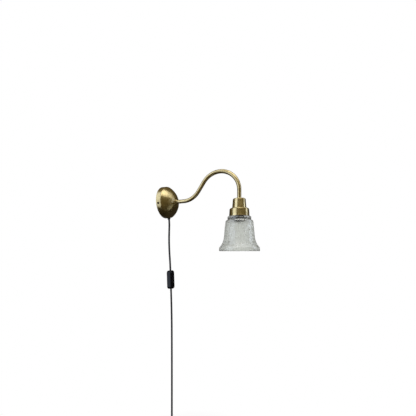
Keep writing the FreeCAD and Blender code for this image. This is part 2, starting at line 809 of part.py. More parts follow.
def switch_body():
    """Both halves of the housing as one hollow block."""
    half = SWITCH_DEPTH / 2
    body = rounded_plan(SWITCH_WIDTH, SWITCH_LENGTH, 8.0, -half, half)
    rims = [edge for edge in body.Edges if abs(abs(edge.CenterOfMass.y) - half) < 0.01]
    body = body.makeFillet(3.5, rims)
    wall = SWITCH_WALL
    hollow = rounded_plan(SWITCH_WIDTH - 2 * wall, SWITCH_LENGTH - 2 * wall, 6.0,
                          -half + wall, half - wall)
    cord_way = rod(2.3, UP * -40, UP * 40)
    return body.cut(hollow).cut(cord_way)


def switch_base():
    """The half towards the wall, with a grooved post under the see-saw and screw bosses."""
    back_half = box(-20, 20, SWITCH_SPLIT, 20, -40, 40)
    base = switch_body().common(back_half)
    inside = SWITCH_DEPTH / 2 - SWITCH_WALL
    post = box(-2, 2, SEESAW_PIVOT_DEPTH + 0.5, inside + 0.5, -0.8, 0.8)
    pivot = Vector(0, SEESAW_PIVOT_DEPTH, 0)
    post = post.cut(rod(SEESAW_RIDGE + 0.05, pivot - RIGHT * 3, pivot + RIGHT * 3))
    for side in (-1, 1):
        seat = Vector(side * 6.5, 0, side * 20)
        boss = rod(3.8, Vector(seat.x, SWITCH_SPLIT, seat.z), Vector(seat.x, inside + 0.5, seat.z))
        base = base.fuse(boss)
        base = base.cut(rod(1.35, Vector(seat.x, -20, seat.z), Vector(seat.x, 20, seat.z)))
        base = base.cut(rod(2.6, Vector(seat.x, SWITCH_DEPTH / 2 - 2.2, seat.z),
                            Vector(seat.x, 20, seat.z)))
    return in_switch(base.fuse(post).removeSplitter())


def switch_cover():
    """The half towards the room, with the rocker's window, its two cheeks and the screw posts."""
    front_half = box(-20, 20, -20, SWITCH_SPLIT - 0.02, -40, 40)
    cover = switch_body().common(front_half)
    inside = -SWITCH_DEPTH / 2 + SWITCH_WALL - 0.5
    cheek_inner = WINDOW_WIDTH / 2
    for side in (-1, 1):
        low = min(side * cheek_inner, side * (cheek_inner + 2))
        cover = cover.fuse(box(low, low + 2, inside, SWITCH_SPLIT - 0.5, -4, 4))
        seat = Vector(side * 6.5, 0, side * 20)
        post = rod(2.6, Vector(seat.x, inside, seat.z), Vector(seat.x, SWITCH_SPLIT - 0.02, seat.z))
        hole = rod(1.1, Vector(seat.x, -5, seat.z), Vector(seat.x, 5, seat.z))
        cover = cover.fuse(post).cut(hole)
    window = box(-WINDOW_WIDTH / 2, WINDOW_WIDTH / 2, -20, 0.4,
                 -WINDOW_LENGTH / 2, WINDOW_LENGTH / 2)
    pivot = rod(1.3, Vector(-9, -ROCKER_PIVOT_DEPTH, 0), Vector(9, -ROCKER_PIVOT_DEPTH, 0))
    return in_switch(cover.cut(window).cut(pivot).removeSplitter())


def switch_rocker():
    """A rocker with a shallow V front, two stub axles and a stem, pressed at its upper end."""
    half_width = WINDOW_WIDTH / 2 - 0.3
    half_length = WINDOW_LENGTH / 2 - 0.7
    front = -SWITCH_DEPTH / 2 - 1.4
    dip = front + 1.6
    corners = [
        Vector(-half_width, -4.6, -half_length + 0.6),
        Vector(-half_width, front, -half_length),
        Vector(-half_width, dip, 0),
        Vector(-half_width, front, half_length),
        Vector(-half_width, -4.6, half_length - 0.6),
        Vector(-half_width, -4.6, -half_length + 0.6),
    ]
    body = Part.Face(Part.makePolygon(corners)).extrude(RIGHT * 2 * half_width)
    axle_reach = WINDOW_WIDTH / 2 + 1.4
    pivot = -ROCKER_PIVOT_DEPTH
    axle = rod(1.25, Vector(-axle_reach, pivot, 0), Vector(axle_reach, pivot, 0))
    web = box(-half_width, half_width, -4.8, pivot, -1.2, 1.2)
    stem = box(-1.2, 1.2, pivot, 1.7, -0.9, 0.9)
    rocker = body.fuse([axle, web, stem]).removeSplitter()
    rocker.rotate(Vector(0, pivot, 0), RIGHT, ROCKER_TILT)
    return in_switch(rocker)


def switch_seesaw():
    """The moving contact, a brass plate that tips on its round ridge under the rocker's stem."""
    pivot = Vector(0, SEESAW_PIVOT_DEPTH, 0)
    plate = box(-2.5, 2.5, pivot.y - 0.35, pivot.y + 0.35, -7, 7)
    pips = [rod(1.2, Vector(0, pivot.y, end), Vector(0, pivot.y + 2.25, end)) for end in (-5.8, 5.8)]
    ridge = rod(SEESAW_RIDGE, pivot - RIGHT * 2.5, pivot + RIGHT * 2.5)
    seesaw = plate.fuse(pips + [ridge]).removeSplitter()
    seesaw.rotate(pivot, RIGHT, -SEESAW_TILT)
    return in_switch(seesaw)


def switch_terminals():
    """Two fixed brass contacts with upright lugs for the wires."""
    inside = SWITCH_DEPTH / 2 - SWITCH_WALL - 0.02
    lugs = []
    for side in (-1, 1):
        low = min(side * 4.2, side * 14)
        strip = box(-2.5, 2.5, inside - 0.8, inside, low, low + 9.8)
        lug_low = min(side * 10, side * 14)
        lug = box(-2.5, 2.5, inside - 4.2, inside - 0.8, lug_low, lug_low + 4)
        lugs.append(in_switch(strip.fuse(lug).removeSplitter()))
    return Part.makeCompound(lugs)


def switch_screws():
    screws = []
    for side in (-1, 1):
        seat = Vector(side * 6.5, SWITCH_DEPTH / 2 - 2.18, side * 20)
        shank = rod(1.0, seat, seat + OUT * 9.5)
        head = rod(2.3, seat, seat - OUT * 1.6)
        cross = box(seat.x - 2, seat.x + 2, seat.y + 0.9, seat.y + 3, seat.z - 0.3, seat.z + 0.3)
        screws.append(in_switch(shank.fuse(head).cut(cross)))
    return Part.makeCompound(screws)


# ---- plug ---------------------------------------------------------------------------------------

def plug_top():
    """Where the strain relief ends and the plug's body begins."""
    exit_point = coil_exit()
    return Vector(exit_point.x, exit_point.y, TAIL_END - PLUG_RELIEF_LENGTH)


def plug_relief():
    """A tapered sleeve with ribs round the cord's end."""
    length = PLUG_RELIEF_LENGTH
    outline = [
        (0, length - 0.02),
        (3.7, length - 0.02),
        (5.6, 0.02),
        (0, 0.02),
    ]
    sleeve = turned(outline)
    for groove in range(5):
        height = 3.0 + 3.6 * groove
        sleeve = sleeve.cut(pipe(8, 3.4, UP * height, UP * (height + 1.2)))
    sleeve.translate(plug_top())
    return sleeve


def plug_section(width, depth, height):
    """A flat oval with straight sides, as a wire."""
    corner = depth / 2
    straight = width / 2 - corner
    right_low = Vector(straight, -corner, height)
    right_high = Vector(straight, corner, height)
    left_high = Vector(-straight, corner, height)
    left_low = Vector(-straight, -corner, height)
    right_middle = Vector(width / 2, 0, height)
    left_middle = Vector(-width / 2, 0, height)
    return Part.Wire([
        Part.LineSegment(left_low, right_low).toShape(),
        Part.Arc(right_low, right_middle, right_high).toShape(),
        Part.LineSegment(right_high, left_high).toShape(),
        Part.Arc(left_high, left_middle, left_low).toShape(),
    ])


def plug_body():
    """A flat two-pole plug that narrows towards its cord."""
    base = plug_section(35.3, 13.7, -PLUG_LENGTH)
    waist = plug_section(33.0, 13.7, -PLUG_LENGTH * 0.55)
    neck = plug_section(17.0, 12.6, 0)
    body = Part.makeLoft([base, waist, neck], True, True)
    body.translate(plug_top())
    return body


def plug_pins():
    """Two round pins, their tips rounded."""
    pins = []
    for side in (-1, 1):
        root = plug_top() + Vector(side * 9.3, 0, -PLUG_LENGTH - 0.02)
        tip = root - UP * PIN_LENGTH
        pin = rod(2.0, root, tip)
        edges = [edge for edge in pin.Edges if abs(edge.CenterOfMass.z - tip.z) < 0.01]
        pins.append(pin.makeFillet(1.2, edges))
    return Part.makeCompound(pins)


NODES = [
    canopy, canopy_screws, wall_disc, cord_grommet, cord_clamp, cord_clamp_screws,
    terminal_block, terminal_screws, inlet_lead, block_wires,
    arm_tube, arm_lead, arm_collar, arm_base_nipple, arm_washer, arm_nut, arm_end_nipple,
    upper_cup, lower_cup, holder_cap, holder_skirt, holder_core, screw_shell, centre_contact,
    holder_terminals, holder_wires, shade_ring, glass_shade,
    cord_upper, cord_lower, cord_coil, cord_tail, coil_tie,
    switch_base, switch_cover, switch_rocker, switch_seesaw, switch_terminals, switch_screws,
    plug_relief, plug_body, plug_pins,
]


def main():
    os.makedirs("parts", exist_ok=True)
    for node in NODES:
        shape = node()
        shape.exportStep("parts/" + node.__name__ + ".step")
        size = shape.BoundBox
        print(node.__name__, len(shape.Solids), "valid", shape.isValid(),
              "x %.1f %.1f y %.1f %.1f z %.1f %.1f" % (size.XMin, size.XMax, size.YMin, size.YMax,
                                                       size.ZMin, size.ZMax))


main()
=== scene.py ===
"""Looks for a plug-in wall lamp: antique brass plate, swan neck and cups, a ribbed glass bell, and
a black cord with an inline switch. Metres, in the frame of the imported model: the wall is Y = 0, the
lamp stands out towards -Y, +Z is up, and the origin is the middle of the wall plate on the wall."""
import math

import bmesh
import bpy
from bpy.props import FloatProperty, FloatVectorProperty, IntProperty, PointerProperty
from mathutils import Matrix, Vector


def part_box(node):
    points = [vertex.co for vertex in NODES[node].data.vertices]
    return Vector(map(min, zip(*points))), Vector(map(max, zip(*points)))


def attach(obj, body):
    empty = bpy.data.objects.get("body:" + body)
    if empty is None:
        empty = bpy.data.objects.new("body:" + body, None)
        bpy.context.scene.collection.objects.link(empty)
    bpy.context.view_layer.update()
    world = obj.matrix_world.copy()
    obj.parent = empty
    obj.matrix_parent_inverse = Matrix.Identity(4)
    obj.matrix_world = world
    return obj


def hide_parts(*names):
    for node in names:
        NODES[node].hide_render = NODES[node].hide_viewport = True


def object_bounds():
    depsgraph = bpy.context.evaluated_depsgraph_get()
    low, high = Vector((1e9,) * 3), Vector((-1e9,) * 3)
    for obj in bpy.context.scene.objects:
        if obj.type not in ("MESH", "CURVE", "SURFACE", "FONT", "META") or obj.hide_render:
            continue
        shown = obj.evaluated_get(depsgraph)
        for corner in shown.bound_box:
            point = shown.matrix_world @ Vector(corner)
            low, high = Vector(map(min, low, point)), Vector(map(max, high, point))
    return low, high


bl_info = {
    "name": "Swan-neck wall lamp",
    "version": (1, 0, 0),
    "blender": (4, 5, 0),
    "location": "3D View > Sidebar > Wall lamp",
    "description": "Finishes, glass, cords and studio for a packed swan-neck wall lamp",
    "category": "Object",
}

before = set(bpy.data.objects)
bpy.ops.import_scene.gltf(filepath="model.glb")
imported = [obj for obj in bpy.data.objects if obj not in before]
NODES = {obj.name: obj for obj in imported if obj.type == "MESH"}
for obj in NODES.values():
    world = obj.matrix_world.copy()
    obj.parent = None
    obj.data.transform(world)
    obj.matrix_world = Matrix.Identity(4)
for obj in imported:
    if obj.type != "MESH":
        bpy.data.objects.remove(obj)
CAD_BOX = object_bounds()
GLASS_LOW, GLASS_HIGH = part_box("glass_shade")
SHADE_AXIS_Y = (GLASS_LOW.y + GLASS_HIGH.y) / 2
MM = 0.001


# ---- colours, nodes and objects -----------------------------------------------------------------

def linear(hex_colour):
    """An sRGB hex colour as linear red, green, blue and alpha."""
    channels = []
    for start in (0, 2, 4):
        value = int(hex_colour[start:start + 2], 16) / 255
        channels.append(value / 12.92 if value <= 0.04045 else ((value + 0.055) / 1.055) ** 2.4)
    return (*channels, 1.0)


def grey(value):
    """A number as the colour of a ramp's stop, for ramps that drive a roughness."""
    return (value, value, value, 1.0)


def add_node(tree, kind, inputs=None, stops=(), **settings):
    """Add a node. Inputs are values, or sockets of other nodes to link from. Stops are a colour
    ramp's (place, colour) pairs, from left to right."""
    node = tree.nodes.new(kind)
    for name, value in settings.items():
        setattr(node, name, value)
    for name, value in (inputs or {}).items():
        if isinstance(value, bpy.types.NodeSocket):
            tree.links.new(value, node.inputs[name])
        else:
            node.inputs[name].default_value = value
    for index, (place, colour) in enumerate(stops):
        # A new ramp has two stops
        if index > 1:
            node.color_ramp.elements.new(place)
        node.color_ramp.elements[index].position = place
        node.color_ramp.elements[index].color = colour
    return node


def new_material(name):
    """An empty material with its output, and the tree that it is built in."""
    material = bpy.data.materials.new(name)
    material.use_nodes = True
    tree = material.node_tree
    tree.nodes.clear()
    output = add_node(tree, "ShaderNodeOutputMaterial")
    return material, tree, output


def finish_material(tree, output, shader, height, depth, strength=1.0):
    """Join a Principled shader to the output, with a bump of this depth in metres."""
    bump = add_node(tree, "ShaderNodeBump", {
        "Height": height, "Distance": depth, "Strength": strength})
    tree.links.new(bump.outputs["Normal"], shader.inputs["Normal"])
    tree.links.new(shader.outputs["BSDF"], output.inputs["Surface"])


def paint(material, *names):
    """Give CAD nodes this material in every slot."""
    for name in names:
        for slot in NODES[name].material_slots:
            slot.material = material


def new_piece(name, mesh):
    """Turn a bmesh into an object in the scene, and free the bmesh."""
    data = bpy.data.meshes.new(name)
    mesh.to_mesh(data)
    mesh.free()
    piece = bpy.data.objects.new(name, data)
    bpy.context.scene.collection.objects.link(piece)
    return piece


# ---- materials ----------------------------------------------------------------------------------

TOOL_MARK_SHARE = 0.45       # share of tool marks in the brass's polish, the rest being patina clouds
BAND_PAINTED_SHADE = 0.08           # how much darker the wall plate's band is drawn: painted shade for a dimmer reflection there
BAND_EDGE = 1.5 * MM         # half the width over which the painted shade fades out towards the dome
RIB_TINT = 0.92              # share of light that passes a rib, against the thin glass beside it
COLLAR_TINT = 0.72           # share of light that passes the solid collar
COLLAR_FOOT = -72 * MM
COLLAR_TOP = -67 * MM
TAPE_THREAD_SPACING = 0.7 * MM


def spun_coordinates(tree, middle, axis):
    """Coordinates from the middle, and ones that are the same all round the axis, so that a
    pattern on them runs in rings."""
    place = add_node(tree, "ShaderNodeTexCoord").outputs["Object"]
    centred = add_node(tree, "ShaderNodeVectorMath", {
        0: place, 1: middle}, operation="SUBTRACT").outputs["Vector"]
    across = Vector((1, 1, 1)) - Vector(axis)
    flat = add_node(tree, "ShaderNodeVectorMath", {
        0: centred, 1: across}, operation="MULTIPLY").outputs["Vector"]
    reach = add_node(tree, "ShaderNodeVectorMath", {
        0: flat}, operation="LENGTH").outputs["Value"]
    along = add_node(tree, "ShaderNodeVectorMath", {
        0: centred, 1: axis}, operation="DOT_PRODUCT").outputs["Value"]
    rings = add_node(tree, "ShaderNodeCombineXYZ", {"X": reach, "Y": along}).outputs["Vector"]
    return centred, rings


def antique_brass(name, colours, middle=(0, 0, 0), axis=None, band_depth=None):
    """Brass sheet, spun or drawn, darkened in a bath, brushed back and lacquered.

    The eye sees a warm yellow-brown metal whose highlights are soft and long, with cloudy darker
    patches where less of the patina was brushed off, and fine rings where the sheet was spun.
    """
    material, tree, output = new_material(name)
    if axis is None:
        place = add_node(tree, "ShaderNodeTexCoord").outputs["Object"]
        rings = place
    else:
        place, rings = spun_coordinates(tree, middle, axis)
    clouds = add_node(tree, "ShaderNodeTexNoise", {
        "Vector": place, "Scale": 1 / (20 * MM), "Detail": 3.0, "Roughness": 0.6}).outputs["Fac"]
    # Tool marks are really about 0.3 mm apart, and are drawn coarser so that they show
    mark_spacing = 2 * MM if axis else 1.11 * MM
    marks = add_node(tree, "ShaderNodeTexNoise", {
        "Vector": rings, "Scale": 1 / mark_spacing, "Detail": 4.0,
        "Roughness": 0.7}).outputs["Fac"]
    polish = add_node(tree, "ShaderNodeMix", {
        "Factor": TOOL_MARK_SHARE, "A": clouds, "B": marks}).outputs["Result"]
    if band_depth:
        # Painted shade: the plate's band is drawn darker, in place of a dimmer reflection of the soft
        # box on it
        out_of_wall = add_node(tree, "ShaderNodeSeparateXYZ", {"Vector": place}).outputs["Y"]
        band_shade = add_node(tree, "ShaderNodeMapRange", {
            "Value": out_of_wall,
            "From Min": -band_depth - BAND_EDGE, "From Max": -band_depth + BAND_EDGE,
            "To Min": 0.0, "To Max": BAND_PAINTED_SHADE}).outputs["Result"]
        polish = add_node(tree, "ShaderNodeMath", {
            0: polish, 1: band_shade}, operation="SUBTRACT").outputs["Value"]
    colour = add_node(tree, "ShaderNodeValToRGB", {"Fac": polish}, stops=[
        (0.28, (*colours.brass_dark, 1)),
        (0.50, (*colours.brass, 1)),
        (0.74, (*colours.brass_worn, 1))]).outputs["Color"]
    roughness = add_node(tree, "ShaderNodeValToRGB", {"Fac": polish}, stops=[
        (0.35, grey(0.38)), (0.65, grey(0.27))]).outputs["Color"]
    shader = add_node(tree, "ShaderNodeBsdfPrincipled", {
        "Base Color": colour, "Roughness": roughness, "Metallic": 1.0,
        "Coat Weight": 1.0, "Coat Roughness": 0.2})
    if axis is not None:
        # Ring brushing spreads a highlight across the rings
        around = "Z" if axis[2] else "Y"
        tangent = add_node(tree, "ShaderNodeTangent", direction_type="RADIAL", axis=around)
        shader.inputs["Anisotropic"].default_value = 0.6
        shader.inputs["Anisotropic Rotation"].default_value = 0.25
        tree.links.new(tangent.outputs["Tangent"], shader.inputs["Tangent"])
    finish_material(tree, output, shader, marks, 0.012 * MM, 0.5)
    return material


def blackened_steel():
    """Screw heads blackened in oil: almost black, with a dull brown sheen and worn spots."""
    material, tree, output = new_material("Blackened steel screw")
    place = add_node(tree, "ShaderNodeTexCoord").outputs["Object"]
    wear = add_node(tree, "ShaderNodeTexNoise", {
        "Vector": place, "Scale": 1 / (1.11 * MM), "Detail": 3.0}).outputs["Fac"]
    colour = add_node(tree, "ShaderNodeValToRGB", {"Fac": wear}, stops=[
        (0.4, linear("17130F")), (0.75, linear("3A3026"))]).outputs["Color"]
    shader = add_node(tree, "ShaderNodeBsdfPrincipled", {
        "Base Color": colour, "Metallic": 1.0, "Roughness": 0.45})
    finish_material(tree, output, shader, wear, 0.02 * MM)
    return material


def zinc_steel():
    """Zinc-plated pressed steel: pale blue-grey, a little cloudy, with soft reflections."""
    material, tree, output = new_material("Zinc-plated steel")
    place = add_node(tree, "ShaderNodeTexCoord").outputs["Object"]
    clouds = add_node(tree, "ShaderNodeTexNoise", {
        "Vector": place, "Scale": 1 / (4.55 * MM), "Detail": 4.0}).outputs["Fac"]
    colour = add_node(tree, "ShaderNodeValToRGB", {"Fac": clouds}, stops=[
        (0.3, linear("A7AAAC")), (0.7, linear("C6C8C6"))]).outputs["Color"]
    roughness = add_node(tree, "ShaderNodeValToRGB", {"Fac": clouds}, stops=[
        (0.3, grey(0.42)), (0.7, grey(0.3))]).outputs["Color"]
    shader = add_node(tree, "ShaderNodeBsdfPrincipled", {
        "Base Color": colour, "Metallic": 1.0, "Roughness": roughness})
    finish_material(tree, output, shader, clouds, 0.02 * MM)
    return material


def bright_brass():
    """Bare machined brass of nipples, contacts and plug pins: yellow, with fine turning marks."""
    material, tree, output = new_material("Turned bright brass")
    place = add_node(tree, "ShaderNodeTexCoord").outputs["Object"]
    # Turning marks are really about 0.1 mm apart, and are drawn coarser so that they show
    marks = add_node(tree, "ShaderNodeTexNoise", {
        "Vector": place, "Scale": 1 / (0.667 * MM), "Detail": 2.0}).outputs["Fac"]
    colour = add_node(tree, "ShaderNodeValToRGB", {"Fac": marks}, stops=[
        (0.35, linear("C9A14E")), (0.7, linear("E3C377"))]).outputs["Color"]
    shader = add_node(tree, "ShaderNodeBsdfPrincipled", {
        "Base Color": colour, "Metallic": 1.0, "Roughness": 0.28})
    finish_material(tree, output, shader, marks, 0.01 * MM)
    return material


def moulded(name, dark, light, roughness, grain=0.6 * MM, depth=0.02 * MM, specular=0.5):
    """Moulded or extruded plastic or rubber: a fine grain breaks up its sheen, and handling has
    left it a little duller and darker in places."""
    material, tree, output = new_material(name)
    place = add_node(tree, "ShaderNodeTexCoord").outputs["Object"]
    texture = add_node(tree, "ShaderNodeTexNoise", {
        "Vector": place, "Scale": 1 / grain, "Detail": 2.0}).outputs["Fac"]
    smears = add_node(tree, "ShaderNodeTexNoise", {
        "Vector": place, "Scale": 1 / (11.1 * MM), "Detail": 4.0,
        "Roughness": 0.65}).outputs["Fac"]
    colour = add_node(tree, "ShaderNodeValToRGB", {"Fac": smears}, stops=[
        (0.35, dark), (0.7, light)]).outputs["Color"]
    dullness = add_node(tree, "ShaderNodeValToRGB", {"Fac": smears}, stops=[
        (0.3, grey(roughness + 0.05)), (0.7, grey(roughness - 0.05))]).outputs["Color"]
    shader = add_node(tree, "ShaderNodeBsdfPrincipled", {
        "Base Color": colour, "Roughness": dullness, "IOR": 1.5, "Specular IOR Level": specular})
    finish_material(tree, output, shader, texture, depth, 0.6)
    return material


def glazed_steatite():
    """Steatite with a thin glaze: warm white, glossy, with faint specks."""
    material, tree, output = new_material("Glazed steatite")
    place = add_node(tree, "ShaderNodeTexCoord").outputs["Object"]
    specks = add_node(tree, "ShaderNodeTexNoise", {
        "Vector": place, "Scale": 1 / (1.43 * MM), "Detail": 5.0}).outputs["Fac"]
    colour = add_node(tree, "ShaderNodeValToRGB", {"Fac": specks}, stops=[
        (0.25, linear("CFC9BC")), (0.45, linear("E6E2D8"))]).outputs["Color"]
    shader = add_node(tree, "ShaderNodeBsdfPrincipled", {
        "Base Color": colour, "Roughness": 0.18, "IOR": 1.54, "Coat Weight": 0.4})
    finish_material(tree, output, shader, specks, 0.01 * MM)
    return material


def pressed_glass(colours, rib_count):
    """Soda-lime glass pressed in a mould: faintly grey, with a soft skin that blurs what is behind.

    The eye sees a pale grey bell with fine upright lines, since the ribs pass less light than the
    thin glass between them, and a darker collar where the glass is solid.
    """
    material, tree, output = new_material("Pressed ribbed glass")
    place = add_node(tree, "ShaderNodeTexCoord").outputs["Object"]
    centred = add_node(tree, "ShaderNodeVectorMath", {
        0: place, 1: (0, SHADE_AXIS_Y, 0)}, operation="SUBTRACT").outputs["Vector"]
    parts = add_node(tree, "ShaderNodeSeparateXYZ", {"Vector": centred}).outputs
    angle = add_node(tree, "ShaderNodeMath", {
        0: parts["Y"], 1: parts["X"]}, operation="ARCTAN2").outputs["Value"]
    turned = add_node(tree, "ShaderNodeMath", {
        0: angle, 1: float(rib_count)}, operation="MULTIPLY").outputs["Value"]
    wave = add_node(tree, "ShaderNodeMath", {0: turned}, operation="COSINE").outputs["Value"]
    through_ribs = add_node(tree, "ShaderNodeMapRange", {
        "Value": wave, "From Min": 1.0, "From Max": -1.0,
        "To Min": RIB_TINT, "To Max": 1.0}).outputs["Result"]
    through_collar = add_node(tree, "ShaderNodeMapRange", {
        "Value": parts["Z"], "From Min": COLLAR_FOOT, "From Max": COLLAR_TOP,
        "To Min": 1.0, "To Max": COLLAR_TINT}).outputs["Result"]
    clear = add_node(tree, "ShaderNodeMath", {
        0: through_ribs, 1: through_collar}, operation="MULTIPLY").outputs["Value"]
    tint = add_node(tree, "ShaderNodeVectorMath", {
        0: (*colours.glass,), "Scale": clear}, operation="SCALE").outputs["Vector"]
    skin = add_node(tree, "ShaderNodeTexNoise", {
        "Vector": place, "Scale": 1 / (8.33 * MM), "Detail": 3.0}).outputs["Fac"]
    haze = add_node(tree, "ShaderNodeValToRGB", {"Fac": skin}, stops=[
        (0.3, grey(0.26)), (0.7, grey(0.32))]).outputs["Color"]
    shader = add_node(tree, "ShaderNodeBsdfPrincipled", {
        "Base Color": tint, "Roughness": haze, "IOR": 1.5, "Transmission Weight": 1.0})
    finish_material(tree, output, shader, skin, 0.005 * MM, 0.5)
    return material


def woven_tape():
    """Black woven hook-and-loop tape: dull, with diagonal lines of thread."""
    material, tree, output = new_material("Black woven tape")
    place = add_node(tree, "ShaderNodeTexCoord").outputs["Object"]
    # Along an axis the wave repeats every 2 pi / (10 x scale), and on a flat face that holds two
    # axes it is closer by root 2
    scale = 2 * math.pi / (10 * math.sqrt(2) * TAPE_THREAD_SPACING)
    weave = add_node(tree, "ShaderNodeTexWave", {
        "Vector": place, "Scale": scale, "Distortion": 0.6},
        bands_direction="DIAGONAL").outputs["Fac"]
    colour = add_node(tree, "ShaderNodeValToRGB", {"Fac": weave}, stops=[
        (0.2, linear("121214")), (0.8, linear("2B2B2E"))]).outputs["Color"]
    shader = add_node(tree, "ShaderNodeBsdfPrincipled", {
        "Base Color": colour, "Roughness": 0.85, "Sheen Weight": 0.3})
    finish_material(tree, output, shader, weave, 0.12 * MM)
    return material


# ---- settings -----------------------------------------------------------------------------------

class WallLampSizes(bpy.types.PropertyGroup):
    """Sizes of the pieces that are made here."""

    cord_diameter: FloatProperty(
        name="Cord diameter", description="Outside diameter of the round cord",
        default=6.0 * MM, min=3.0 * MM, max=9.0 * MM, unit="LENGTH", precision=4)
    rib_count: IntProperty(
        name="Glass ribs", description="Upright ribs round the glass bell",
        default=60, min=12, max=120)
    rib_depth: FloatProperty(
        name="Rib depth", description="How far a rib stands in from the glass's inner face",
        default=1.1 * MM, min=0.0, max=2.0 * MM, unit="LENGTH", precision=4)
    floor_drop: FloatProperty(
        name="Floor drop", description="How far the studio floor lies below the plug",
        default=0.04, min=0.0, unit="LENGTH")


class WallLampColours(bpy.types.PropertyGroup):
    """Colours of the main finishes, linear."""

    brass: FloatVectorProperty(
        name="Brass", description="The patinated brass where it is evenly brushed",
        subtype="COLOR", default=linear("BAA975")[:3], min=0, max=1)
    brass_dark: FloatVectorProperty(
        name="Brass patina", description="The brass where the patina is thick",
        subtype="COLOR", default=linear("8C7B4A")[:3], min=0, max=1)
    brass_worn: FloatVectorProperty(
        name="Brass worn", description="The brass where the patina is brushed thin",
        subtype="COLOR", default=linear("D2C598")[:3], min=0, max=1)
    cord: FloatVectorProperty(
        name="Cord", description="The cord's sheath",
        subtype="COLOR", default=linear("1B1C1F")[:3], min=0, max=1)
    switch: FloatVectorProperty(
        name="Switch", description="The inline switch's housing",
        subtype="COLOR", default=linear("07080C")[:3], min=0, max=1)
    glass: FloatVectorProperty(
        name="Glass", description="The tint of light that passes the glass",
        subtype="COLOR", default=linear("E6E8E4")[:3], min=0, max=1)


def settings():
    """The sizes and the colours that are set in the scene."""
    scene = bpy.context.scene
    return scene.wall_lamp_sizes, scene.wall_lamp_colours


# ---- cords --------------------------------------------------------------------------------------

# The route's points, in millimetres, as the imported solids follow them
GROMMET_TO_SWITCH = [
    (10.770, -9.5, -52.936), (13.158, -9.5, -64.675), (13.4, -8.5, -88), (12.9, -8.1, -122),
    (13.5, -9.2, -160), (14.5, -11.594, -198.535), (14.5, -12.400, -220.520)]
SWITCH_TO_COIL = [
    (14.5, -14.600, -280.480), (14.5, -16.798, -340.440), (14.5, -18, -436), (14.5, -18, -745.98)]
COIL_MIDDLE = Vector((14.5, -59, -752))
# How far from the middle the cord lies at the start of each half turn
COIL_REACHES = [41.0, 37.7, 34.4, 31.1, 27.8, 21.2, 30.6, 33.9, 37.2, 40.5, 43.8]
COIL_CLIMB = 5               # the half turn that climbs to the second layer
COIL_LAYER_STEP = 6.6
COIL_TO_PLUG = [(21.1, -15.2, -758), (21.1, -15.2, -806)]


def coil_points(steps=12):
    """Control points of the coil: half turns that wind in, climb a layer and wind out again."""
    # A quadratic spline runs inside its control points by this share
    ease = 1 / (0.75 + 0.25 * math.cos(math.pi / steps))
    points = []
    for turn in range(1, len(COIL_REACHES)):
        before = COIL_REACHES[turn - 1]
        after = COIL_REACHES[turn]
        side = 1 if turn % 2 else -1
        for step in range(steps):
            angle = math.pi * step / steps
            share = (1 - math.cos(angle)) / 2
            reach = before + (after - before) * share
            layer = share if turn == COIL_CLIMB else float(turn > COIL_CLIMB)
            points.append(COIL_MIDDLE + Vector((
                layer * COIL_LAYER_STEP,
                side * reach * math.cos(angle) * ease,
                -side * reach * math.sin(angle) * ease)))
    points.append(COIL_MIDDLE + Vector((COIL_LAYER_STEP, COIL_REACHES[-1], 0)))
    return points


def cord_curve(name, points, diameter, resolution):
    """A round cord along one open spline with these control points, given in millimetres."""
    curve = bpy.data.curves.new(name, "CURVE")
    curve.dimensions = "3D"
    curve.bevel_depth = diameter / 2
    curve.bevel_resolution = 3
    spline = curve.splines.new("NURBS")
    spline.points.add(len(points) - 1)
    for point, place in zip(spline.points, points):
        point.co = (*(Vector(place) * MM), 1)
    spline.order_u = 3
    spline.use_endpoint_u = True
    spline.resolution_u = resolution
    cord = bpy.data.objects.new(name, curve)
    bpy.context.scene.collection.objects.link(cord)
    return cord


class WALLLAMP_OT_cords(bpy.types.Operator):
    """Make the cord from the wall plate to the switch, and from the switch to the plug"""

    bl_idname = "wall_lamp.cords"
    bl_label = "Cords"

    def execute(self, context):
        sizes, colours = settings()
        sheath = moulded("Black PVC cord sheath", (*colours.cord, 1), linear("2A2B2F"), 0.42,
                         grain=0.5 * MM, depth=0.03 * MM)
        upper = cord_curve("cord_to_switch", GROMMET_TO_SWITCH, sizes.cord_diameter, 16)
        lower = cord_curve("cord_to_plug", SWITCH_TO_COIL + coil_points() + COIL_TO_PLUG,
                           sizes.cord_diameter, 6)
        for cord in (upper, lower):
            cord.data.materials.append(sheath)
            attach(cord, "lamp")
        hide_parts("cord_upper")
        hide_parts("cord_lower", "cord_coil", "cord_tail")
        paint(sheath, "inlet_lead", "cord_upper", "cord_lower", "cord_coil", "cord_tail")
        return {"FINISHED"}


STRAP_THICKNESS = 1.1 * MM
STRAP_INSET = 0.7 * MM       # from the CAD strap's outer faces to the middle of the tape
STRAP_CORNER = 3.2 * MM
STRAP_EDGE = 0.25 * MM


